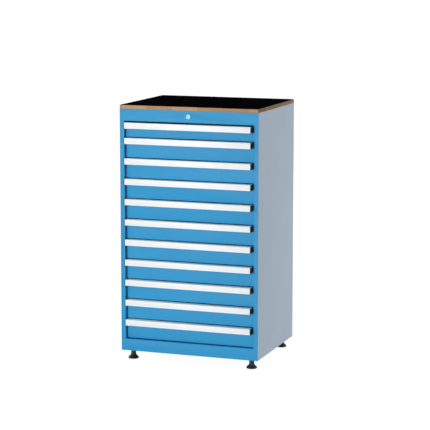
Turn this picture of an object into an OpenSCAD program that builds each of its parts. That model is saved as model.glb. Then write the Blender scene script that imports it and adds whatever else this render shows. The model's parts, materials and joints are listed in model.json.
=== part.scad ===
// Tall sheet steel cabinet with a stack of full-width drawers under a wooden worktop.
// Origin: on the floor, at the centre of the whole footprint. +X right, -Y front, +Z up.
// Depths inside the modules are counted back from the front plane of the frame.

/* [Casing] */
// Width of the steel casing
casing_w = 710; // [640:5:900]
// Depth of the steel casing, without the handles
casing_d = 570; // [500:5:700]
// Height of the frame's rail above the drawers
top_rail_h = 58; // [54:0.5:90]
// Height of the frame's rail below the drawers
bottom_rail_h = 58; // [50:0.5:120]
// Space between the top rail and the first drawer's slot
bay_head = 6; // [4:0.5:10]
// Space between the last drawer's slot and the bottom rail
bay_foot = 3; // [1:0.5:6]
// Width of the frame's upright stiles
stile_w = 22; // [18:1:40]
// Thickness of the casing's steel sheet
sheet_t = 1.5; // [1:0.1:2]
// Depth of the frame's folded edge round the drawer bay
bay_edge_d = 28; // [24:1:36]
// Depth of the frame's folded edge inside the casing
outer_edge_d = 18; // [12:1:20]
// Width of the folded edges of the base, roof and side panels
panel_edge_w = 25; // [15:1:32]
// Width of each upright, front to back
upright_w = 35; // [25:1:50]

/* [Worktop] */
// Thickness of the wooden board
board_t = 18; // [16:1:40]
// Radius of the board's upright corners
board_corner_r = 2; // [1:0.5:10]
// Thickness of the rubber mat
mat_t = 1.5; // [1:0.5:4]
// Distance from the edge of the mat to the edge of the board
mat_inset = 2; // [0.5:0.5:20]

/* [Drawers] */
// Height of the slot for the top drawer
first_slot_h = 75; // [75:1:150]
// Height of the slot for each of the other drawers
slot_h = 100; // [95:1:150]
// Depth of the drawer fronts behind the frame
front_recess = 18; // [12:1:24]
// Gap beside each drawer front
front_side_gap = 3.5; // [2:0.5:6]
// Gap between the top of a slot and the top of its handle
front_top_gap = 0.5; // [0.5:0.5:3]
// Gap between the bottom of a slot and its drawer front
front_bottom_gap = 1; // [0.5:0.5:4]
// Thickness of the folded drawer front
front_t = 14; // [10:1:18]
// Width of the flange folded in at the back of the drawer front
front_flange_w = 14; // [12:1:18]
// Radius of the drawer front's corners
front_corner_r = 2; // [1:0.5:4]
// Thickness of the drawers' steel sheet
drawer_sheet_t = 1.2; // [0.8:0.1:1.5]
// Space under the drawer box in its slot
box_under_space = 6; // [4:0.5:8]
// Space over the drawer box in its slot
box_over_space = 14; // [10:0.5:16]
// Space between the drawer boxes and the back of the casing
box_rear_space = 53; // [50:1:120]
// Width of the lip folded in along the top of the drawer sides
box_lip_w = 10; // [6:1:16]

/* [Handles] */
// Height of the handle's front face
handle_h = 30; // [27:1:36]
// Reach of the handle in front of the drawer front
handle_reach = 44; // [38:1:52]
// Height of the handle's front edge over its rear edge
handle_rise = 3; // [0:0.5:6]
// Wall of the handle profile
handle_wall = 2; // [1.5:0.1:3]
// Radius of the handle's front corners
handle_r = 3; // [2:0.5:5]
// Width of the finger gap under the handle
finger_gap_w = 30; // [20:1:32]
// Length of the hook that lies on the drawer front
handle_hook_l = 8; // [4:1:9]
// Thickness of the hook that lies on the drawer front
handle_hook_t = 1.5; // [1:0.1:2]
// Thickness of the handle's end caps
cap_t = 3; // [2:0.5:5]
// Radius of the rear corners of the end caps
cap_r = 6; // [3:0.5:9]
// Distance from the handle's end to the drawer front's end
handle_inset = 4; // [2:0.5:10]

/* [Slides] */
// Height of the slide member fixed to the casing
slide_h = 45; // [40:0.5:46]
// Thickness of the slides' steel
slide_t = 1.2; // [1:0.1:1.3]
// Width of the whole slide
slide_w = 12.8; // [12.4:0.1:16]
// Running clearance between slide members
slide_gap = 0.4; // [0.3:0.05:0.5]
// Height of the retaining lips of the slide members
slide_lip_h = 2; // [1.5:0.1:2.4]
// Height of the slides' centre line over the bottom of a slot
slide_rise = 36; // [32:0.5:37]
// Distance from the drawer front's back to the slides
slide_setback = 2; // [1:0.5:6]

/* [Lock] */
// Diameter of the bezel of the cylinder lock
bezel_dia = 22; // [21:0.5:28]
// Height of the bezel in front of the frame
bezel_h = 3; // [2:0.5:6]
// Diameter of the lock's body in the frame
lock_body_dia = 18; // [17:0.5:19]
// Diameter of the plug that turns with the key
plug_dia = 14; // [12:0.5:15]
// Length of the lock's body behind the frame
lock_body_l = 24; // [20:1:32]
// Width of the hexagon nut across its corners
lock_nut_dia = 26; // [24:0.5:30]
// Thickness of the hexagon nut
lock_nut_t = 5; // [3:0.5:8]
// Diameter of the shaft from the lock to the rear
shaft_dia = 8; // [6:0.5:8]
// Distance from the lock's axis to the crank pin
crank_r = 8.5; // [8:0.1:9]
// Diameter of the crank pin
crank_pin_dia = 4; // [3:0.1:4.4]
// Width of the keyway
keyway_w = 2.2; // [1.5:0.1:3]
// Height of the keyway
keyway_h = 8; // [6:0.5:10]
// Depth of the keyway
keyway_depth = 12; // [8:1:18]

/* [Locking bar] */
// Width of the locking bar
bar_w = 34; // [32:1:50]
// Thickness of the locking bar
bar_t = 3; // [2:0.5:4]
// Distance from the locking bar to the back panel
bar_standoff = 11; // [8:0.5:14]
// Height of the catch on each drawer over the bottom of its slot
catch_rise = 44; // [42:0.5:50]
// Reach of the catch behind the drawer box
catch_reach = 16; // [15:0.5:18]
// Width of the catch
catch_w = 24; // [18:1:40]
// Thickness of the catch
catch_t = 2; // [1.5:0.5:3]
// Width of the bar's fingers
finger_w = 8; // [6:0.5:10]
// Thickness of the bar's fingers
finger_t = 3; // [2:0.5:3.5]
// Gap between a finger and the catch above it while unlocked
finger_drop = 2; // [1.5:0.5:3]

/* [Feet] */
// Height of the black foot, from the floor to the end of its neck
foot_body_h = 44; // [34:1:56]
// Length of screw that shows between the foot and the casing
foot_screw_gap = 4; // [2:0.5:20]
// Diameter of the foot's pad
pad_dia = 53; // [48:1:60]
// Height of the pad's rim
pad_rim_h = 6; // [4:0.5:9]
// Diameter of the foot's neck
neck_dia = 26; // [20:0.5:28]
// Radius of the flare between neck and pad
flare_r = 20; // [14:0.5:22]
// Diameter of the foot's screw
screw_dia = 10; // [8:0.5:12]
// Distance from the foot's centre to the side and front of the casing
foot_inset = 45; // [44:1:70]
// Height of the channels that carry the feet
foot_channel_h = 24; // [20:1:30]
// Width of the channels that carry the feet
foot_channel_w = 46; // [34:1:48]

/* [Hidden] */
$fn = 48;

frame_blue = [0.23, 0.58, 0.83];
panel_grey = [0.66, 0.69, 0.73];
handle_white = [0.93, 0.95, 0.96];
plastic_black = [0.07, 0.07, 0.08];
zinc_silver = [0.76, 0.78, 0.80];
beech_brown = [0.78, 0.60, 0.42];
mat_black = [0.05, 0.05, 0.05];

drawer_count = 11;
sides = [-1, 1];

// Clearances: of turning fits, of guides, and between parts that are pressed or riveted together
fit_gap = 0.2;
guide_gap = 0.4;
seat_gap = 0.1;
// How far a cut runs past the face that it opens
past = 1;

// Heights
foot_h = foot_body_h + foot_screw_gap;
stack_h = first_slot_h + (drawer_count - 1) * slot_h;
casing_h = bottom_rail_h + bay_foot + stack_h + bay_head + top_rail_h;
casing_bottom = foot_h;
casing_top = casing_bottom + casing_h;
bay_bottom = casing_bottom + bottom_rail_h;
bay_top = casing_top - top_rail_h;
stack_top = bay_top - bay_head;
lock_z = casing_top - top_rail_h / 2;

// Half widths
half_w = casing_w / 2;
bay_half_w = half_w - stile_w;
front_half_w = bay_half_w - front_side_gap;
upright_x = bay_half_w + slide_t;
box_half_w = upright_x - slide_w - seat_gap;

// Depths behind the front plane of the frame
front_face = front_recess;
front_back = front_face + front_t;
box_back = casing_d - box_rear_space;
slide_front = front_back + slide_setback;
slide_back = box_back - slide_setback;
back_inside = casing_d - 2 * sheet_t;
bar_front = back_inside - bar_standoff - bar_t;
upright_margin = 8;
front_y = (handle_reach - front_recess - casing_d) / 2;

// Lock and locking bar: the crank turns a quarter turn, from 45 degrees below level to 45 above
crank_rest = -45;
bar_lift = 2 * crank_r * sin(-crank_rest);
crank_t = 3;
crank_w = 9;
crank_gap = 1.5;
crank_back = bar_front - crank_gap;
crank_pin_end = 3;
crank_pin_l = crank_gap + bar_t + crank_pin_end;
pin_slot_gap = 0.5;
bracket_t = 3;
bracket_w = 40;
bracket_drop = 8;
bracket_back = crank_back - 30;
bar_tail = 20;
guide_t = 3;
guide_h = 14;
guide_drop = 7;
guide_slots = [2, 9];

// Feet
screw_boss_dia = screw_dia + 8;
screw_stub = 5;

// Heights of each drawer's slot, handle, slides and catch, counted from the top drawer
function slot_top(i) = i == 0 ? stack_top : stack_top - first_slot_h - (i - 1) * slot_h;
function slot_bottom(i) = stack_top - first_slot_h - i * slot_h;
function handle_z(i) = slot_top(i) - front_top_gap - handle_rise;
function slide_z(i) = slot_bottom(i) + slide_rise;
function catch_z(i) = slot_bottom(i) + catch_rise;
function number_name(i) = str(i < 9 ? "0" : "", i + 1);
function drawer_node(i, piece) = str("drawer_", number_name(i), "_", piece);
function slide_node(i) = str("mid_rails_", number_name(i));
drawer_list = [for (i = [0 : drawer_count - 1]) i];

// Makes children, modelled behind the front plane, in the object's own frame
module from_front() {
    translate([0, front_y, 0]) children();
}

// A block between two corners
module block(low, high) {
    translate(low) cube(high - low);
}

// A rectangle with round corners, from its lower left corner
module round_rectangle(size, r) {
    translate([r, 0]) square([size[0] - 2 * r, size[1]]);
    translate([0, r]) square([size[0], size[1] - 2 * r]);
    for (x = [r, size[0] - r], y = [r, size[1] - r])
        translate([x, y]) circle(r);
}

// A flat outline of depth and height, extruded along X from x0 to x1
module along_x(x0, x1) {
    translate([x0, 0, 0]) rotate([90, 0, 90]) linear_extrude(x1 - x0) children();
}

// An outline of width and height, extruded backwards from y0 to y1
module along_y(y0, y1) {
    translate([0, y1, 0]) rotate([90, 0, 0]) linear_extrude(y1 - y0) children();
}

// ---- Casing ----

// Front frame: face plate with edges folded back round the bay and inside the casing
module front_frame() {
    edge_half_w = half_w - sheet_t;
    color(frame_blue) from_front() difference() {
        union() {
            block([-half_w, 0, casing_bottom], [half_w, sheet_t, casing_top]);
            block([-bay_half_w - sheet_t, 0, bay_bottom - sheet_t],
                  [bay_half_w + sheet_t, bay_edge_d, bay_top + sheet_t]);
            difference() {
                block([-edge_half_w, 0, casing_bottom + sheet_t],
                      [edge_half_w, outer_edge_d, casing_top - sheet_t]);
                block([-edge_half_w + sheet_t, sheet_t, casing_bottom + 2 * sheet_t],
                      [edge_half_w - sheet_t, outer_edge_d + past, casing_top - 2 * sheet_t]);
            }
        }
        block([-bay_half_w, -past, bay_bottom], [bay_half_w, bay_edge_d + past, bay_top]);
        translate([0, sheet_t + past, lock_z])
            rotate([90, 0, 0]) cylinder(d = lock_body_dia + 2 * fit_gap, h = sheet_t + 2 * past);
    }
}

// One upright channel, open towards the side panel it is welded to
module upright(depth) {
    low = casing_bottom + panel_edge_w + past;
    high = casing_top - panel_edge_w - past;
    difference() {
        block([upright_x, depth, low], [half_w - sheet_t, depth + upright_w, high]);
        block([upright_x + sheet_t, depth + sheet_t, low - past],
              [half_w, depth + upright_w - sheet_t, high + past]);
    }
}

// Side panel with a rear edge folded in, and the uprights that carry the slides
module side_panel(side) {
    upright_front = slide_front + upright_margin;
    upright_rear = slide_back - upright_margin - upright_w;
    color(panel_grey) from_front() mirror([side < 0 ? 1 : 0, 0, 0]) union() {
        block([half_w - sheet_t, sheet_t, casing_bottom], [half_w, casing_d, casing_top]);
        block([half_w - sheet_t - panel_edge_w, casing_d - sheet_t, casing_bottom],
              [half_w, casing_d, casing_top]);
        for (depth = [upright_front, upright_rear])
            upright(depth);
    }
}

// Strap of a guide that holds the locking bar against the back panel
module bar_guide(i) {
    low = slot_top(i) - guide_drop - guide_h;
    inner = bar_w / 2 + guide_gap;
    strap_front = bar_front - guide_gap - guide_t;
    difference() {
        block([-inner - guide_t, strap_front, low], [inner + guide_t, back_inside, low + guide_h]);
        block([-inner, strap_front + guide_t, low - past],
              [inner, back_inside + past, low + guide_h + past]);
    }
}

// Back panel, behind the casing's folded edges, with the guides for the locking bar
module back_panel() {
    edge = half_w - sheet_t;
    color(panel_grey) from_front() union() {
        block([-edge, back_inside, casing_bottom + sheet_t],
              [edge, casing_d - sheet_t, casing_top - sheet_t]);
        for (i = guide_slots)
            bar_guide(i);
    }
}

// A pan of sheet with its side and rear edges turned towards +Z
module edged_sheet() {
    edge = half_w - sheet_t;
    edge_front = outer_edge_d + past;
    edge_back = back_inside;
    block([-edge, sheet_t, 0], [edge, casing_d - sheet_t, sheet_t]);
    difference() {
        block([-edge, edge_front, 0], [edge, edge_back, panel_edge_w]);
        block([-edge + sheet_t, edge_front - past, sheet_t],
              [edge - sheet_t, edge_back - sheet_t, panel_edge_w + past]);
    }
}

// Channel across the base that carries two feet
module foot_channel(depth) {
    edge = half_w - 2 * sheet_t;
    difference() {
        block([-edge, depth - foot_channel_w / 2, 0], [edge, depth + foot_channel_w / 2, foot_channel_h]);
        block([-edge - past, depth - foot_channel_w / 2 + sheet_t, 0],
              [edge + past, depth + foot_channel_w / 2 - sheet_t, foot_channel_h - sheet_t]);
    }
}

// Base panel with two channels and a screw boss for each foot
module base_panel() {
    foot_depths = [foot_inset, casing_d - foot_inset];
    foot_x = half_w - foot_inset;
    color(panel_grey) from_front() translate([0, 0, casing_bottom]) difference() {
        union() {
            edged_sheet();
            for (depth = foot_depths) {
                foot_channel(depth);
                for (side = sides)
                    translate([side * foot_x, depth, 0]) cylinder(d = screw_boss_dia, h = foot_channel_h);
            }
        }
        for (side = sides, depth = foot_depths)
            translate([side * foot_x, depth, -past])
                cylinder(d = screw_dia + 2 * fit_gap, h = foot_channel_h + 2 * past);
    }
}

// Roof panel under the worktop, with the bracket that carries the lock's shaft
module roof_panel() {
    bracket_low = lock_z - shaft_dia / 2 - bracket_drop;
    color(panel_grey) from_front() difference() {
        union() {
            translate([0, 0, casing_top]) mirror([0, 0, 1]) edged_sheet();
            block([-bracket_w / 2, bracket_back - bracket_t, bracket_low],
                  [bracket_w / 2, bracket_back, casing_top - sheet_t]);
        }
        translate([0, bracket_back + past, lock_z])
            rotate([90, 0, 0]) cylinder(d = shaft_dia + 2 * fit_gap, h = bracket_t + 2 * past);
    }
}

// Wooden board on the roof panel
module worktop() {
    color(beech_brown) from_front() translate([-half_w, 0, casing_top])
        linear_extrude(board_t) round_rectangle([casing_w, casing_d], board_corner_r);
}

// Rubber mat on the board
module rubber_mat() {
    color(mat_black) from_front() translate([mat_inset - half_w, mat_inset, casing_top + board_t])
        linear_extrude(mat_t)
            round_rectangle([casing_w - 2 * mat_inset, casing_d - 2 * mat_inset], board_corner_r);
}

// ---- Slides ----

// Half section of the member fixed to the casing: distance inwards from its back, height
module outer_section() {
    square([slide_t, slide_h / 2]);
    translate([0, slide_h / 2 - slide_t]) square([slide_w - slide_t, slide_t]);
    translate([slide_w - 2 * slide_t, slide_h / 2 - slide_t - slide_lip_h])
        square([slide_t, slide_lip_h + slide_t]);
}

// Half section of the middle member, which runs inside the outer one
mid_back = 2 * slide_t;
mid_reach = slide_w - 2 * slide_t - slide_gap;
mid_half_h = slide_h / 2 - slide_t - slide_gap;
module middle_section() {
    translate([mid_back, 0]) square([slide_t, mid_half_h]);
    translate([mid_back, mid_half_h - slide_t]) square([mid_reach - mid_back, slide_t]);
    translate([mid_reach - slide_t, mid_half_h - slide_t - slide_lip_h])
        square([slide_t, slide_lip_h + slide_t]);
}

// Half section of the inner member, which is fixed to the drawer and held in the middle one
inner_half_h = mid_half_h - slide_t - slide_gap;
inner_neck_h = inner_half_h - slide_lip_h - slide_t / 2;
inner_back = mid_reach - slide_t - slide_gap - slide_t;
module inner_section() {
    translate([slide_w - slide_t, 0]) square([slide_t, inner_neck_h]);
    translate([inner_back, inner_neck_h - slide_t]) square([slide_w - inner_back, slide_t]);
    translate([inner_back, inner_neck_h - slide_t])
        square([slide_t, inner_half_h - inner_neck_h + slide_t]);
}

// Left and right members of one slot, from the half section given as children
module slide_pair(i, depth_front, depth_back) {
    from_front() for (side = [0, 1])
        mirror([side, 0, 0]) translate([0, 0, slide_z(i)]) union()
            for (half = [0, 1])
                mirror([0, 0, half]) along_y(depth_front, depth_back)
                    translate([upright_x, 0]) mirror([1, 0]) children();
}

// All slide members fixed to the uprights
module cabinet_rails() {
    color(zinc_silver) for (i = drawer_list)
        slide_pair(i, slide_front, slide_back) outer_section();
}

// The middle slide members of one drawer
module mid_rails(i) {
    color(zinc_silver) slide_pair(i, slide_front + past, slide_back - past) middle_section();
}

// ---- Drawers ----

// Catch behind the drawer box, with the hole that a finger of the locking bar rises through
module catch_plate(i) {
    finger_front = box_back + catch_reach / 2 - finger_t / 2;
    difference() {
        block([-catch_w / 2, box_back - drawer_sheet_t, catch_z(i)],
              [catch_w / 2, box_back + catch_reach, catch_z(i) + catch_t]);
        block([-finger_w / 2 - past, finger_front - 2 * past, catch_z(i) - past],
              [finger_w / 2 + past, finger_front + finger_t + 2 * past, catch_z(i) + catch_t + past]);
    }
}

// Folded drawer box, with lips turned in along its sides, the catch and the inner slide members
module drawer_box(i) {
    low = slot_bottom(i) + box_under_space;
    high = slot_top(i) - box_over_space;
    wall = drawer_sheet_t;
    color(panel_grey) from_front() union() {
        difference() {
            block([-box_half_w, front_back, low], [box_half_w, box_back, high]);
            block([-box_half_w + wall, front_back + wall, low + wall],
                  [box_half_w - wall, box_back - wall, high - wall]);
            block([-box_half_w + box_lip_w, front_back + wall, high - 2 * wall],
                  [box_half_w - box_lip_w, box_back - wall, high + past]);
        }
        catch_plate(i);
    }
    color(zinc_silver) slide_pair(i, slide_front, slide_back) inner_section();
}

// Drawer front, folded from sheet with a flange turned in at its back
module drawer_front(i) {
    low = slot_bottom(i) + front_bottom_gap;
    high = handle_z(i) - handle_hook_t;
    wall = drawer_sheet_t;
    inner_w = front_half_w - wall;
    window_w = front_half_w - front_flange_w;
    color(frame_blue) from_front() difference() {
        translate([-front_half_w, 0, low]) along_y(front_face, front_back)
            round_rectangle([2 * front_half_w, high - low], front_corner_r);
        block([-inner_w, front_face + wall, low + wall], [inner_w, front_back - wall, high - wall]);
        block([-window_w, front_back - 2 * wall, low + front_flange_w],
              [window_w, front_back + past, high - front_flange_w]);
    }
}

// Outlines of the handle: distance in front of the drawer front, height over its rear edge
handle_low = handle_rise - handle_h;
arc_steps = 6;
function quarter(centre, r, start) =
    [for (k = [0 : arc_steps]) let (a = start + 90 * k / arc_steps) centre + r * [cos(a), sin(a)]];
handle_front_points = concat(
    quarter([handle_reach - handle_r, handle_low + handle_r], handle_r, -90),
    quarter([handle_reach - handle_r, handle_rise - handle_r], handle_r, 0));

// Section of the handle: a hood that is open below for the fingers, hooked over the front
module handle_section() {
    inner_front = handle_reach - handle_wall;
    inner_low = handle_low + handle_wall;
    difference() {
        polygon(concat([[0, handle_low]], handle_front_points, [[0, 0]]));
        polygon([[handle_wall, inner_low], [inner_front, inner_low],
                 [inner_front, handle_rise - handle_wall], [handle_wall, -handle_wall]]);
        translate([handle_wall, handle_low - past]) square([finger_gap_w, handle_wall + 2 * past]);
    }
    translate([-handle_hook_l, -handle_hook_t]) square([handle_hook_l + handle_wall, handle_hook_t]);
}

// Outline of the end cap, with round rear corners
module cap_outline() {
    polygon(concat(quarter([cap_r, handle_low + cap_r], cap_r, 180), handle_front_points,
                   quarter([cap_r, -cap_r], cap_r, 90)));
}

// Full-width handle profile with a black cap on each end
module drawer_handle(i) {
    profile_half_l = front_half_w - handle_inset - cap_t;
    from_front() translate([0, front_face, handle_z(i)]) {
        color(handle_white) along_x(-profile_half_l, profile_half_l) mirror([1, 0]) handle_section();
        color(plastic_black) for (side = [0, 1])
            mirror([side, 0, 0]) along_x(profile_half_l + seat_gap, profile_half_l + cap_t)
                mirror([1, 0]) cap_outline();
    }
}

// ---- Lock ----

// Lock housing with its bezel, and the nut that clamps it in the frame
module lock_housing() {
    plug_bore = plug_dia + 2 * fit_gap;
    color(zinc_silver) from_front() translate([0, 0, lock_z]) rotate([-90, 0, 0]) {
        difference() {
            union() {
                translate([0, 0, -bezel_h]) cylinder(d = bezel_dia, h = bezel_h);
                cylinder(d = lock_body_dia, h = lock_body_l);
            }
            translate([0, 0, -bezel_h - past]) cylinder(d = plug_bore, h = bezel_h + lock_body_l + 2 * past);
        }
        translate([0, 0, sheet_t]) difference() {
            cylinder(d = lock_nut_dia, h = lock_nut_t, $fn = 6);
            translate([0, 0, -past])
                cylinder(d = lock_body_dia + fit_gap, h = lock_nut_t + 2 * past);
        }
    }
}

// Plug with its keyway, the long shaft behind it and the crank with its pin
module lock_barrel() {
    pin_x = crank_r * cos(crank_rest);
    pin_z = crank_r * sin(crank_rest);
    color(zinc_silver) from_front() translate([0, 0, lock_z]) {
        rotate([-90, 0, 0]) difference() {
            translate([0, 0, -bezel_h]) cylinder(d = plug_dia, h = bezel_h + lock_body_l);
            translate([-keyway_w / 2, -keyway_h / 2, -bezel_h - past])
                cube([keyway_w, keyway_h, keyway_depth + past]);
        }
        translate([0, lock_body_l - past, 0]) rotate([-90, 0, 0])
            cylinder(d = shaft_dia, h = crank_back - lock_body_l + past);
        translate([0, crank_back - crank_t, 0]) rotate([0, -crank_rest, 0])
            block([0, 0, -crank_w / 2], [crank_r, crank_t, crank_w / 2]);
        translate([pin_x, crank_back - crank_t, pin_z]) rotate([-90, 0, 0]) {
            cylinder(d = crank_w, h = crank_t);
            cylinder(d = crank_pin_dia, h = crank_t + crank_pin_l);
        }
    }
}

// Locking bar: a flat strip with a bent finger for each drawer and a slot for the crank pin
module locking_bar() {
    finger_front = box_back + catch_reach / 2 - finger_t / 2;
    finger_l = bar_lift + catch_t + finger_t;
    pin_z = lock_z + crank_r * sin(crank_rest);
    slot_left = crank_r * cos(crank_rest) - crank_pin_dia / 2 - 2 * pin_slot_gap;
    slot_right = crank_r + crank_pin_dia / 2 + 2 * pin_slot_gap;
    slot_half_h = crank_pin_dia / 2 + pin_slot_gap;
    color(zinc_silver) from_front() difference() {
        union() {
            block([-bar_w / 2, bar_front, slot_bottom(drawer_count - 1) + bar_tail],
                  [bar_w / 2, bar_front + bar_t, pin_z + slot_half_h + crank_w]);
            for (i = drawer_list) {
                tip = catch_z(i) - finger_drop;
                block([-finger_w / 2, finger_front, tip - finger_l],
                      [finger_w / 2, finger_front + finger_t, tip]);
                block([-finger_w / 2, finger_front, tip - finger_l - finger_t],
                      [finger_w / 2, bar_front + bar_t, tip - finger_l]);
            }
        }
        block([slot_left, bar_front - past, pin_z - slot_half_h],
              [slot_right, bar_front + bar_t + past, pin_z + slot_half_h]);
    }
}

// ---- Feet ----

// Half outline of a foot: a flat pad with a rounded rim that flares up to a straight neck
module foot_outline() {
    pad_r = pad_dia / 2;
    neck_r = neck_dia / 2;
    rim_r = pad_rim_h / 2;
    square([pad_r - rim_r, pad_rim_h]);
    square([pad_r, rim_r]);
    translate([pad_r - rim_r, rim_r]) circle(rim_r);
    difference() {
        square([pad_r - rim_r, pad_rim_h + flare_r]);
        translate([neck_r + flare_r, pad_rim_h + flare_r]) circle(flare_r);
    }
    square([neck_r, foot_body_h]);
}

// Levelling foot: a black flared pad on a steel screw
module foot(side, depth) {
    screw_l = foot_screw_gap + foot_channel_h - screw_stub;
    from_front() translate([side * (half_w - foot_inset), depth, 0]) {
        color(plastic_black) rotate_extrude() intersection() {
            foot_outline();
            square([pad_dia / 2, foot_body_h]);
        }
        color(zinc_silver) translate([0, 0, foot_body_h]) cylinder(d = screw_dia, h = screw_l);
    }
}

foot_front_depth = foot_inset;
foot_rear_depth = casing_d - foot_inset;

front_frame();
side_panel(-1);  // side_panel_left
side_panel(1);  // side_panel_right
back_panel();
base_panel();
roof_panel();
worktop();
rubber_mat();
cabinet_rails();
lock_housing();
lock_barrel();
locking_bar();
foot(-1, foot_front_depth);  // foot_front_left
foot(1, foot_front_depth);  // foot_front_right
foot(-1, foot_rear_depth);  // foot_rear_left
foot(1, foot_rear_depth);  // foot_rear_right
for (i = drawer_list) {
    mid_rails(i);
    drawer_box(i);
    drawer_front(i);
    drawer_handle(i);
}
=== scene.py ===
import json
import math

import bmesh
import bpy
from mathutils import Matrix, Vector

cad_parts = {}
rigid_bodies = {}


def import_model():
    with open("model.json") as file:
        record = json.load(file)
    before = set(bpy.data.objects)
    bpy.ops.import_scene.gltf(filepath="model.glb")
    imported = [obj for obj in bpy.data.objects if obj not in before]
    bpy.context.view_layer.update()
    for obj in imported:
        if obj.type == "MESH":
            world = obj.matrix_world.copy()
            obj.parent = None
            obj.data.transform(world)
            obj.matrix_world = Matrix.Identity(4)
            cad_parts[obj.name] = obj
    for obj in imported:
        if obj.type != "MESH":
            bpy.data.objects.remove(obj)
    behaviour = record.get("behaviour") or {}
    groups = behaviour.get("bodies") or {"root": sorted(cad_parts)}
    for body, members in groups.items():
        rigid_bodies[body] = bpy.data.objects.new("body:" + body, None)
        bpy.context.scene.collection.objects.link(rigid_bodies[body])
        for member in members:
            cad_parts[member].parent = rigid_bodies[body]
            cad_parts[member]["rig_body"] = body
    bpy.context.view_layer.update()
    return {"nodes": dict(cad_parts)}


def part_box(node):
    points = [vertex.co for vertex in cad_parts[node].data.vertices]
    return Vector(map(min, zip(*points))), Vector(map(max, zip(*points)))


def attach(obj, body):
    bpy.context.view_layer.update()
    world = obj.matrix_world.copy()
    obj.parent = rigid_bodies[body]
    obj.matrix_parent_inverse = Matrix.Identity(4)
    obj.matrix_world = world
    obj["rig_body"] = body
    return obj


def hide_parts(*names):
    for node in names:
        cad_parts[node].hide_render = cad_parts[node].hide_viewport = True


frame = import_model()


# ---- Casing panels ----
# Base, sides, back and roof of 1.5 mm steel sheet, folded at the edges and powder coated light grey.
# The uprights that carry the slides are spot welded to the sides, and the guides of the locking bar
# to the back. Every fold has a small outer radius, painted paler: partly the rubbed, thinner coat
# there, partly a painted highlight.

# A shader node: an input given as a socket is linked, and any other value is set
def node(tree, kind, inputs=None, **settings):
    made = tree.nodes.new(kind)
    for name, value in settings.items():
        setattr(made, name, value)
    for name, value in (inputs or {}).items():
        if isinstance(value, bpy.types.NodeSocket):
            tree.links.new(value, made.inputs[name])
        else:
            made.inputs[name].default_value = value
    return made


def noise(tree, place, scale, detail):
    return node(tree, "ShaderNodeTexNoise", {"Vector": place, "Scale": scale, "Detail": detail}).outputs[0]


def spread(tree, value, low, high):
    return node(tree, "ShaderNodeMapRange", {"Value": value, "To Min": low, "To Max": high}).outputs[0]


def reckon(tree, operation, first, second=0.0):
    return node(tree, "ShaderNodeMath", {0: first, 1: second}, operation=operation).outputs[0]


def shaded(tree, color, value, saturation=1.0):
    return node(tree, "ShaderNodeHueSaturation", {
        "Color": color, "Value": value, "Saturation": saturation}).outputs[0]


# A finish takes the place on the piece and the values below, and puts out what varies over the surface
def new_finish(name, inputs):
    tree = bpy.data.node_groups.new(name, "ShaderNodeTree")
    tree.interface.new_socket("Position", in_out="INPUT", socket_type="NodeSocketVector")
    for label, kind, value in inputs:
        socket = tree.interface.new_socket(label, in_out="INPUT", socket_type="NodeSocket" + kind)
        socket.default_value = value
    for label, kind in (("Color", "Color"), ("Roughness", "Float"), ("Height", "Float")):
        tree.interface.new_socket(label, in_out="OUTPUT", socket_type="NodeSocket" + kind)
    return tree, tree.nodes.new("NodeGroupInput").outputs, tree.nodes.new("NodeGroupOutput").inputs


def put_out(tree, result, color, roughness, height):
    for label, value in (("Color", color), ("Roughness", roughness), ("Height", height)):
        tree.links.new(value, result[label])


def new_material(name, finish, values, constants, bump_depth):
    material = bpy.data.materials.new(name)
    material.use_nodes = True
    tree = material.node_tree
    principled = tree.nodes["Principled BSDF"]
    for socket, value in constants.items():
        principled.inputs[socket].default_value = value
    position = node(tree, "ShaderNodeTexCoord").outputs["Object"]
    surface = node(tree, "ShaderNodeGroup", node_tree=finish)
    tree.links.new(position, surface.inputs["Position"])
    for socket, value in values.items():
        surface.inputs[socket].default_value = value
    tree.links.new(surface.outputs["Color"], principled.inputs["Base Color"])
    tree.links.new(surface.outputs["Roughness"], principled.inputs["Roughness"])
    bump = node(tree, "ShaderNodeBump", {"Height": surface.outputs["Height"], "Distance": bump_depth})
    tree.links.new(bump.outputs["Normal"], principled.inputs["Normal"])
    return material


# Powder coat: the fine orange peel of the baked powder, a slow drift of its shade, and dull patches
powder_coat, given, result = new_finish("powder_coat", [
    ("Color", "Color", (0.5, 0.5, 0.5, 1)), ("Roughness", "Float", 0.45)])
peel = noise(powder_coat, given["Position"], 420, 2)
drift = noise(powder_coat, given["Position"], 5, 3)
dulled = spread(powder_coat, noise(powder_coat, given["Position"], 22, 6), -0.07, 0.07)
put_out(powder_coat, result,
        color=shaded(powder_coat, given["Color"], spread(powder_coat, drift, 0.95, 1.05)),
        roughness=reckon(powder_coat, "ADD", given["Roughness"], dulled),
        height=peel)

grey_paint = new_material(
    "grey_paint", powder_coat, {"Color": (0.605, 0.717, 0.843, 1), "Roughness": 0.62},
    {"Specular IOR Level": 0.2}, bump_depth=0.00012)
# The folds' paler paint is partly a rubbed coat, partly a painted highlight along the radius
grey_fold_rubbed_and_highlight = new_material(
    "grey_paint_rubbed_fold_and_highlight", powder_coat, {"Color": (0.68, 0.77, 0.87, 1), "Roughness": 0.5},
    {"Specular IOR Level": 0.25}, bump_depth=0.00004)


def new_piece(name, shape, material, body="cabinet"):
    mesh = bpy.data.meshes.new(name)
    shape.to_mesh(mesh)
    shape.free()
    mesh.materials.append(material)
    piece = bpy.data.objects.new(name, mesh)
    bpy.context.scene.collection.objects.link(piece)
    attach(piece, body)
    return piece


same_point, same_plane, sharp_edge = 0.000002, math.radians(1), math.radians(40)


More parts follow.
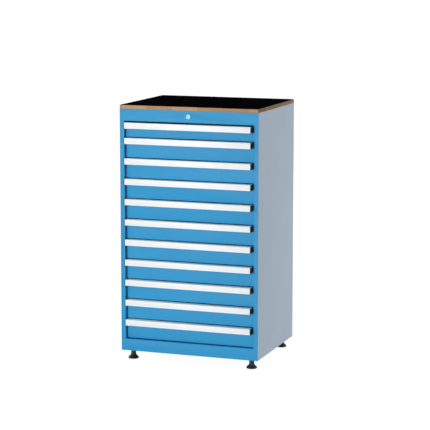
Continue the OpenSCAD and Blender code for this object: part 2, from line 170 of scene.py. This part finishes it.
# The solid's own shape with a small radius on every edge that is sharper than the turning faces of a
# bore. The radii take the fold's material where one is given.
def softened(cad_node, material, name, radius, segments=2, fold=None):
    source = frame["nodes"][cad_node]
    copy = bmesh.new()
    copy.from_mesh(source.data)
    bmesh.ops.remove_doubles(copy, verts=copy.verts, dist=same_point)
    bmesh.ops.dissolve_limit(copy, angle_limit=same_plane, verts=copy.verts, edges=copy.edges)
    piece = new_piece(name, copy, material, source["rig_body"])
    piece.data.shade_smooth()
    bevel = piece.modifiers.new("folded_edges", "BEVEL")
    bevel.width = radius
    bevel.segments = segments
    bevel.limit_method = "ANGLE"
    bevel.angle_limit = sharp_edge
    bevel.harden_normals = True
    if fold:
        piece.data.materials.append(fold)
        bevel.material = 1
    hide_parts(cad_node)
    return piece


for panel in ("base_panel", "side_panel_left", "side_panel_right", "back_panel", "roof_panel"):
    softened(panel, grey_paint, panel + "_sheet", radius=0.0006, fold=grey_fold_rubbed_and_highlight)


# ---- Rivets of the back ----
# Blind rivets of zinc plated steel hold the back panel to the folded rear edges of the sides.
# Each has a low dome with the hole that its drawn pin leaves.
def stretched(tree, place, factors):
    return node(tree, "ShaderNodeVectorMath", {0: place, 1: factors}, operation="MULTIPLY").outputs[0]


# Plated steel: streaks from drawing or rolling, drawn out by Stretch, and the plating's faint colours
plated_steel, given, result = new_finish("plated_steel", [
    ("Color", "Color", (0.6, 0.62, 0.64, 1)), ("Roughness", "Float", 0.35),
    ("Stretch", "Vector", (1, 1, 1)), ("Streaks", "Float", 1.0)])
lines = noise(plated_steel, stretched(plated_steel, given["Position"], given["Stretch"]), 60, 5)
clouds = noise(plated_steel, given["Position"], 35, 4)
streak = reckon(plated_steel, "MULTIPLY", given["Streaks"], spread(plated_steel, lines, -0.12, 0.1))
clouded = spread(plated_steel, clouds, -0.1, 0.1)
put_out(plated_steel, result,
        color=shaded(plated_steel, given["Color"], reckon(plated_steel, "ADD", streak, 1.0),
                     spread(plated_steel, clouds, 0.5, 1.6)),
        roughness=reckon(plated_steel, "ADD", given["Roughness"], clouded),
        height=lines)

zinc_steel = new_material(
    "zinc_steel", plated_steel,
    {"Color": (0.46, 0.48, 0.50, 1), "Roughness": 0.38, "Stretch": (12, 0.8, 12)},
    {"Metallic": 0.9}, bump_depth=0.00004)


# A shape turned round the upright axis from an outline of radii and heights
def turned(profile, steps):
    shape = bmesh.new()
    points = [shape.verts.new((radius, 0, height)) for radius, height in profile]
    edges = [shape.edges.new(pair) for pair in zip(points, points[1:])]
    bmesh.ops.spin(shape, geom=points + edges, cent=(0, 0, 0), axis=(0, 0, 1), angle=math.tau,
                   steps=steps, use_merge=True)
    bmesh.ops.remove_doubles(shape, verts=shape.verts, dist=0.000001)
    bmesh.ops.recalc_face_normals(shape, faces=shape.faces)
    return shape


# Adds a shape at its place to a larger one
def placed(into, shape, place):
    bmesh.ops.transform(shape, matrix=place, verts=shape.verts)
    mesh = bpy.data.meshes.new("placed")
    shape.to_mesh(mesh)
    shape.free()
    into.from_mesh(mesh)
    bpy.data.meshes.remove(mesh)


def evenly(start, end, count):
    return [start + step * (end - start) / (count - 1) for step in range(count)]


# Radius and height of the rivet's outline: the pin's hole, the dome, the rim and the closed underside
rivet_profile = [(0, 0.0002), (0.0010, 0.0002), (0.0011, 0.0012), (0.0016, 0.0014), (0.0026, 0.0012),
                 (0.0035, 0.0006), (0.0038, -0.0003), (0, -0.0003)]
back_rivets, back_rivet_end_gap, back_rivet_inset = 6, 0.06, 0.0125
side_low, side_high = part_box("side_panel_right")
rivets = bmesh.new()
for side in (-1, 1):
    for height in evenly(side_low.z + back_rivet_end_gap, side_high.z - back_rivet_end_gap, back_rivets):
        placed(rivets, turned(rivet_profile, steps=20),
               Matrix.Translation((side * (side_high.x - back_rivet_inset), side_high.y, height))
               @ Matrix.Rotation(math.radians(-90), 4, "X"))
new_piece("back_panel_rivets", rivets, zinc_steel).data.shade_smooth()


# ---- Front frame ----
# One blue powder coated frame round the drawer bay, cut and folded from sheet and welded at its
# corners, set in front of the side panels. Its edges fold back round the bay and into the casing.
# Its blue is the drawer fronts' paint set a touch darker, as painted shade, and both are painted paler
# on their folds, partly for the rubbed coat and partly as a painted highlight.
# Painted shade: the same blue as the drawer fronts, set a touch darker
frame_blue_painted_shade = new_material(
    "frame_paint_painted_shade", powder_coat, {"Color": (0.029, 0.354, 0.685, 1), "Roughness": 0.48},
    {"Specular IOR Level": 0.25}, bump_depth=0.00012)
# Painted paler on the folds: partly a rubbed coat, partly a painted highlight along the radius
blue_fold_rubbed_and_highlight = new_material(
    "blue_paint_rubbed_fold_and_highlight", powder_coat, {"Color": (0.06, 0.41, 0.77, 1), "Roughness": 0.38},
    {"Specular IOR Level": 0.3}, bump_depth=0.00004)
softened("front_frame", frame_blue_painted_shade, "front_frame_sheet", radius=0.0008, segments=3,
         fold=blue_fold_rubbed_and_highlight)


# ---- Drawer slides ----
# Telescopic slides rolled from zinc plated steel: the outer members are hooked into the uprights,
# the middle members run in them, and the inner members are riveted to the drawer boxes.
def dress(cad_node, material):
    mesh = frame["nodes"][cad_node].data
    mesh.materials.clear()
    mesh.materials.append(material)


drawer_numbers = [f"{number:02d}" for number in range(1, 12)]
dress("cabinet_rails", zinc_steel)
for number in drawer_numbers:
    dress("mid_rails_" + number, zinc_steel)


# ---- Central lock ----
# A nickel plated cylinder lock in the top rail: a housing with a raised bezel, clamped by a hexagon
# nut, and a plug with its keyway. The plug turns a long shaft whose crank lifts the locking bar.
# Nickel plating, with a blue tint painted into its colour as a painted reflection of the blue paint round
# it
lock_metal_painted_blue_reflection = new_material(
    "lock_metal_painted_blue_reflection", plated_steel,
    {"Color": (0.18, 0.31, 0.44, 1), "Roughness": 0.3, "Stretch": (8, 8, 8)},
    {"Metallic": 0.85}, bump_depth=0.00002)
softened("lock_housing", lock_metal_painted_blue_reflection, "lock_housing_turned", radius=0.0007, segments=3)
softened("lock_barrel", lock_metal_painted_blue_reflection, "lock_barrel_turned", radius=0.0003)


# ---- Locking bar ----
# A flat bar of zinc plated steel behind the drawers, held in guides on the back panel. It has a bent
# finger for each drawer, which rises through the hole in that drawer's catch.
softened("locking_bar", zinc_steel, "locking_bar_flat", radius=0.0004)


# ---- Drawer boxes ----
# Each box is folded from 1.2 mm sheet, spot welded at its corners and powder coated light grey.
# Lips stiffen its sides, a catch is welded to its back, and its slide members are riveted on from
# inside. The members stand outside the box's walls, and stay bare zinc.
box_half_width, box_sheet, wall_slack = 0.3213, 0.0012, 0.00005
rivets_a_side, rivet_end_gap = 4, 0.035
for number in drawer_numbers:
    box = softened(f"drawer_{number}_box", grey_paint, f"drawer_{number}_box_folded",
                   radius=0.0003)
    box.data.materials.append(zinc_steel)
    member = []
    for face in box.data.polygons:
        if abs(face.center.x) > box_half_width + wall_slack:
            face.material_index = 1
            member += [box.data.vertices[index].co for index in face.vertices]
    member_height = (min(point.z for point in member) + max(point.z for point in member)) / 2
    member_start = min(point.y for point in member) + rivet_end_gap
    member_end = max(point.y for point in member) - rivet_end_gap
    rivets = bmesh.new()
    for side in (-1, 1):
        for depth in evenly(member_start, member_end, rivets_a_side):
            placed(rivets, turned(rivet_profile, steps=14),
                   Matrix.Translation((side * (box_half_width - box_sheet), depth, member_height))
                   @ Matrix.Rotation(math.radians(-90 * side), 4, "Y"))
    slide_rivets = new_piece(f"drawer_{number}_slide_rivets", rivets, zinc_steel,
                             f"drawer_{number}")
    slide_rivets.data.shade_smooth()


# ---- Drawer fronts ----
# A shallow pan of sheet, folded all round, powder coated blue and fixed to the front of the box.
# It stands back in the bay, so the frame's folded edge shows beside it.
blue_paint = new_material(
    "blue_paint", powder_coat, {"Color": (0.029, 0.368, 0.70, 1), "Roughness": 0.48},
    {"Specular IOR Level": 0.3}, bump_depth=0.00012)
for number in drawer_numbers:
    softened(f"drawer_{number}_front", blue_paint, f"drawer_{number}_front_folded",
             radius=0.0005, segments=3, fold=blue_fold_rubbed_and_highlight)


# ---- Handles ----
# A hood of extruded aluminium, pale satin anodised, hooked over the top of each drawer front from end
# to end. Fingers reach up behind its front wall. A moulded black cap closes each end.
handle_metal = new_material(
    "handle_metal", plated_steel,
    {"Color": (0.92, 0.948, 0.958, 1), "Roughness": 0.55, "Stretch": (0.08, 14, 14), "Streaks": 0.5},
    {"Metallic": 0.15, "Specular IOR Level": 0.3}, bump_depth=0.00002)

# Moulded plastic: the fine spark texture of the mould, and patches where the plastic flowed
moulded_plastic, given, result = new_finish("moulded_plastic", [
    ("Color", "Color", (0.02, 0.02, 0.02, 1)), ("Roughness", "Float", 0.5)])
sparked = noise(moulded_plastic, given["Position"], 1400, 2)
flow = noise(moulded_plastic, given["Position"], 45, 4)
put_out(moulded_plastic, result,
        color=shaded(moulded_plastic, given["Color"], spread(moulded_plastic, flow, 0.8, 1.25)),
        roughness=reckon(moulded_plastic, "ADD", given["Roughness"],
                         spread(moulded_plastic, flow, -0.08, 0.08)),
        height=sparked)

black_plastic = new_material(
    "black_plastic", moulded_plastic, {"Color": (0.012, 0.013, 0.014, 1), "Roughness": 0.5},
    {"Specular IOR Level": 0.35}, bump_depth=0.00006)


def keep_islands(shape, wanted):
    unseen = set(shape.verts)
    dropped = []
    while unseen:
        island, newest = set(), {unseen.pop()}
        while newest:
            island |= newest
            newest = {link.other_vert(vert) for vert in newest for link in vert.link_edges} - island
        unseen -= island
        if not wanted([vert.co for vert in island]):
            dropped += island
    bmesh.ops.delete(shape, geom=dropped, context="VERTS")


# The profile and its two caps are separate solids of one node, told apart by where they lie
def handle_solid(cad_node, wanted, material, name, radius, segments=2):
    piece = softened(cad_node, material, name, radius, segments)
    solid = bmesh.new()
    solid.from_mesh(piece.data)
    keep_islands(solid, wanted)
    solid.to_mesh(piece.data)
    solid.free()


for number in drawer_numbers:
    cad_handle = f"drawer_{number}_handle"
    handle_solid(cad_handle, lambda points: min(p.x for p in points) < 0 < max(p.x for p in points),
                 handle_metal, f"drawer_{number}_handle_profile", radius=0.0004)
    for side, word in ((-1, "left"), (1, "right")):
        handle_solid(cad_handle, lambda points: min(side * p.x for p in points) > 0,
                     black_plastic, f"drawer_{number}_handle_cap_{word}",
                     radius=0.0008, segments=3)


# ---- Worktop ----
# An 18 mm board of beech staves glued side by side, clear varnished and screwed on from below. The
# staves run from side to side in joined lengths, so the side edges show their end grain. The side
# edges are also painted much darker, as painted shade.

# One where the count is a whole number, and zero from half a seam's width away from there
def seam(tree, count, half_width):
    from_joint = reckon(tree, "PINGPONG", count, 0.5)
    return node(tree, "ShaderNodeMapRange", {
        "Value": from_joint, "From Max": half_width, "To Min": 1, "To Max": 0}).outputs[0]


# A Mix node keeps its colours in its sockets 6 and 7, and puts out the mixed one in socket 2
def mixed(tree, share, first, second, way="MIX"):
    return node(tree, "ShaderNodeMix", {0: share, 6: first, 7: second},
                data_type="RGBA", blend_type=way).outputs[2]


wood = bpy.data.materials.new("beech_board")
wood.use_nodes = True
tree = wood.node_tree
texture_place = node(tree, "ShaderNodeTexCoord").outputs
position = texture_place["Object"]
parts = node(tree, "ShaderNodeSeparateXYZ", {"Vector": position}).outputs
# Each length of stave has its own number, from which its shade and its place in the log are drawn
stave_width, stave_length = 0.042, 0.13
across = reckon(tree, "DIVIDE", parts["Y"], stave_width)
row = reckon(tree, "FLOOR", across)
row_random = node(tree, "ShaderNodeTexWhiteNoise", {"W": row}, noise_dimensions="1D").outputs[0]
along = reckon(tree, "ADD", reckon(tree, "DIVIDE", parts["X"], stave_length), row_random)
stave = node(tree, "ShaderNodeCombineXYZ", {"X": row, "Y": reckon(tree, "FLOOR", along)})
stave_random = node(tree, "ShaderNodeTexWhiteNoise", {"Vector": stave.outputs[0]}, noise_dimensions="2D")
chances = node(tree, "ShaderNodeSeparateColor", {"Color": stave_random.outputs["Color"]}).outputs
stave_color = node(tree, "ShaderNodeValToRGB", {"Fac": chances[2]})
ramp = stave_color.color_ramp
ramp.elements[0].color = (0.44, 0.25, 0.12, 1)
ramp.elements[1].color = (0.58, 0.35, 0.175, 1)
ramp.elements.new(0.5).color = (0.51, 0.295, 0.145, 1)
# Growth rings: each stave is cut from its own place in the log, so its rings have their own centre
centre = node(tree, "ShaderNodeCombineXYZ", {
    "Y": spread(tree, chances[0], -0.25, 0.25), "Z": spread(tree, chances[1], -1.2, -0.95)})
from_centre = node(tree, "ShaderNodeVectorMath", {0: position, 1: centre.outputs[0]}, operation="ADD")
rings = node(tree, "ShaderNodeTexWave", {
    "Vector": stretched(tree, from_centre.outputs[0], (0.04, 1, 1)),
    "Scale": 110, "Distortion": 3, "Detail": 3, "Detail Scale": 2},
    wave_type="RINGS", rings_direction="X")
pores = noise(tree, stretched(tree, position, (0.03, 1, 1)), 900, 3)
ringed = shaded(tree, stave_color.outputs[0], spread(tree, rings.outputs[0], 0.86, 1.08))
grained = shaded(tree, ringed, spread(tree, pores, 0.8, 1.2))
# Glue lines between the staves and at the ends of their lengths are thin and dark
glue = reckon(tree, "MAXIMUM", seam(tree, across, 0.012), seam(tree, along, 0.003))
glued = mixed(tree, glue, grained, (0.20, 0.09, 0.04, 1))
# The side faces are darker and browner: partly end grain drinking the varnish, partly painted shade
facing = node(tree, "ShaderNodeSeparateXYZ", {"Vector": texture_place["Normal"]}).outputs
end_grain_and_painted_side_shade = node(tree, "ShaderNodeMapRange", {
    "Value": reckon(tree, "ABSOLUTE", facing["X"]), "From Min": 0.5, "From Max": 0.9})
with_painted_side_shade = mixed(tree, end_grain_and_painted_side_shade.outputs[0], glued, (0.36, 0.28, 0.15, 1), way="MULTIPLY")
principled = tree.nodes["Principled BSDF"]
tree.links.new(with_painted_side_shade, principled.inputs["Base Color"])
tree.links.new(spread(tree, pores, 0.38, 0.62), principled.inputs["Roughness"])
bump = node(tree, "ShaderNodeBump", {"Height": pores, "Distance": 0.00008})
tree.links.new(bump.outputs["Normal"], principled.inputs["Normal"])
principled.inputs["Specular IOR Level"].default_value = 0.2
softened("worktop", wood, "worktop_board", radius=0.0008, segments=3)


# ---- Mat ----
# A 1.5 mm sheet of black rubber with fine ribs from side to side, laid loose on the board.
# It ends just inside the board's edge, so a thin line of wood shows round it.
mat_rubber, given, result = new_finish("mat_rubber", [
    ("Color", "Color", (0.01, 0.01, 0.01, 1)), ("Rib Width", "Float", 0.003)])
mat_parts = node(mat_rubber, "ShaderNodeSeparateXYZ", {"Vector": given["Position"]})
rib_count = reckon(mat_rubber, "DIVIDE", mat_parts.outputs["Y"], given["Rib Width"])
rib = node(mat_rubber, "ShaderNodeMapRange", {
    "Value": reckon(mat_rubber, "PINGPONG", rib_count, 1.0), "From Min": 0.3, "From Max": 0.5},
    interpolation_type="SMOOTHSTEP").outputs[0]
scuffs = noise(mat_rubber, given["Position"], 14, 6)
# Scuffs vary the black, and the ribs are painted lighter on their crests and darker in their grooves, as
# painted shade and sheen
scuffs_and_painted_rib_shade = reckon(mat_rubber, "MULTIPLY", spread(mat_rubber, scuffs, 0.6, 1.5),
                spread(mat_rubber, rib, 0.4, 1.8))
put_out(mat_rubber, result,
        color=shaded(mat_rubber, given["Color"], scuffs_and_painted_rib_shade),
        roughness=spread(mat_rubber, scuffs, 0.85, 1.0),
        height=rib)
rubber = new_material(
    "rubber_mat", mat_rubber, {"Color": (0.0028, 0.0026, 0.0038, 1), "Rib Width": 0.0015},
    {"Specular IOR Level": 0.0}, bump_depth=0.0003)
softened("rubber_mat", rubber, "rubber_mat_sheet", radius=0.0003)


# ---- Levelling feet ----
# A black moulded foot with a flat pad flares up to a straight neck, on a zinc plated screw M10
# that is turned in the base to level the cabinet.
foot_height, pad_radius, rim_height, neck_radius, flare = 0.044, 0.0265, 0.0075, 0.0125, 0.021
sole_edge, sole_rise, neck_edge = 0.002, 0.0004, 0.001
rim = rim_height / 2
rim_centre = pad_radius - rim
flare_centre = neck_radius + flare
foot_profile = [(0, 0), (rim_centre - sole_edge, 0), (rim_centre, sole_rise)]
foot_profile += [(rim_centre + rim * math.sin(turn), rim - rim * math.cos(turn))
                 for turn in evenly(math.radians(10), math.radians(154), 10)]
flare_start = math.acos((flare_centre - rim_centre) / flare)
foot_profile += [(flare_centre - flare * math.cos(turn), rim_height + flare - flare * math.sin(turn))
                 for turn in evenly(flare_start, 0, 11)]
foot_profile += [(neck_radius, foot_height - neck_edge), (neck_radius - neck_edge, foot_height),
                 (0, foot_height)]
thread_pitch, thread_radius, thread_depth, screw_seat = 0.0015, 0.005, 0.0009, 0.001
root_radius = thread_radius - thread_depth
for foot in ("foot_front_left", "foot_front_right", "foot_rear_left", "foot_rear_right"):
    foot_low, foot_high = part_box(foot)
    place = Matrix.Translation(((foot_low.x + foot_high.x) / 2, (foot_low.y + foot_high.y) / 2, 0))
    pad = turned(foot_profile, steps=64)
    bmesh.ops.transform(pad, matrix=place, verts=pad.verts)
    pad_piece = new_piece(foot + "_pad", pad, black_plastic, foot)
    pad_piece.data.shade_smooth()
    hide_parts(foot)
    turns = int((foot_high.z - foot_height) / thread_pitch)
    thread = [(0, foot_height - screw_seat)]
    for turn in range(turns):
        low = foot_height + turn * thread_pitch
        thread += [(root_radius, low), (thread_radius, low + thread_pitch / 2)]
    thread_top = foot_height + turns * thread_pitch
    thread += [(root_radius, thread_top), (0, thread_top)]
    screw = turned(thread, steps=32)
    bmesh.ops.transform(screw, matrix=place, verts=screw.verts)
    new_piece(foot + "_screw", screw, zinc_steel, foot)


# ---- Floor, light and camera ----
# A plain white floor and a soft studio light from the front left, with weak fills from both sides
# and the rear. The camera stands to the right of the cabinet and a little above its top.
floor_half_width = 150
floor_shape = bmesh.new()
bmesh.ops.create_grid(floor_shape, x_segments=1, y_segments=1, size=floor_half_width)
floor_mesh = bpy.data.meshes.new("floor")
floor_shape.to_mesh(floor_mesh)
floor_shape.free()
floor = bpy.data.objects.new("floor", floor_mesh)
bpy.context.scene.collection.objects.link(floor)


# What the camera and mirrors see of floor and backdrop is white. What lights the cabinet is dimmer.
def seen_directly(tree):
    light_path = node(tree, "ShaderNodeLightPath").outputs
    mirrored = reckon(tree, "MAXIMUM", light_path["Is Glossy Ray"], light_path["Is Transmission Ray"])
    return reckon(tree, "MAXIMUM", light_path["Is Camera Ray"], mirrored)


def seen_or_lit(tree, lit, seen):
    return node(tree, "ShaderNodeMixShader", {
        0: seen_directly(tree), 1: lit.outputs[0], 2: seen.outputs[0]}).outputs[0]


floor_white = bpy.data.materials.new("floor_white")
floor_white.use_nodes = True
tree = floor_white.node_tree
tree.nodes.clear()
matte = node(tree, "ShaderNodeBsdfDiffuse", {"Color": (0.8, 0.8, 0.8, 1)})
glow = node(tree, "ShaderNodeEmission", {"Color": (1, 1, 1, 1), "Strength": 0.94})
faint = node(tree, "ShaderNodeBsdfDiffuse", {"Color": (0.2, 0.2, 0.2, 1)})
bright = node(tree, "ShaderNodeAddShader", {0: glow.outputs[0], 1: faint.outputs[0]})
node(tree, "ShaderNodeOutputMaterial", {"Surface": seen_or_lit(tree, matte, bright)})
floor.data.materials.append(floor_white)

world = bpy.data.worlds.new("studio")
bpy.context.scene.world = world
world.use_nodes = True
tree = world.node_tree
tree.nodes.clear()
ambient = node(tree, "ShaderNodeBackground", {"Color": (1, 1, 1, 1), "Strength": 0.42})
backdrop = node(tree, "ShaderNodeBackground", {"Color": (1, 1, 1, 1), "Strength": 1})
node(tree, "ShaderNodeOutputWorld", {"Surface": seen_or_lit(tree, ambient, backdrop)})

cabinet_middle = Vector((0, 0, 0.65))


def soft_light(name, place, size, energy):
    lamp = bpy.data.lights.new(name, "AREA")
    lamp.size = size
    lamp.energy = energy
    light = bpy.data.objects.new(name, lamp)
    bpy.context.scene.collection.objects.link(light)
    light.location = place
    light.rotation_mode = "QUATERNION"
    light.rotation_quaternion = (cabinet_middle - light.location).to_track_quat("-Z", "Y")


soft_light("key_light", (-4.5, -13.8, 0.6), size=5.6, energy=1465)
soft_light("right_fill", (6.5, 1.0, 1.5), size=3, energy=50)
soft_light("left_fill", (-6.5, 1.0, 1.5), size=3, energy=50)
soft_light("rear_fill", (0, 6.5, 1.5), size=3, energy=50)

camera_data = bpy.data.cameras.new("camera")
camera_data.sensor_width = 36
camera_data.lens = 142.5
camera = bpy.data.objects.new("camera", camera_data)
bpy.context.scene.collection.objects.link(camera)
camera.location = (2.851, -7.878, 2.032)
yaw, pitch = 0.3428, 0.1573
look = Vector((-math.sin(yaw) * math.cos(pitch), math.cos(yaw) * math.cos(pitch), -math.sin(pitch)))
camera.rotation_mode = "QUATERNION"
camera.rotation_quaternion = look.to_track_quat("-Z", "Y")
bpy.context.scene.camera = camera
bpy.context.scene.view_settings.view_transform = "Standard"
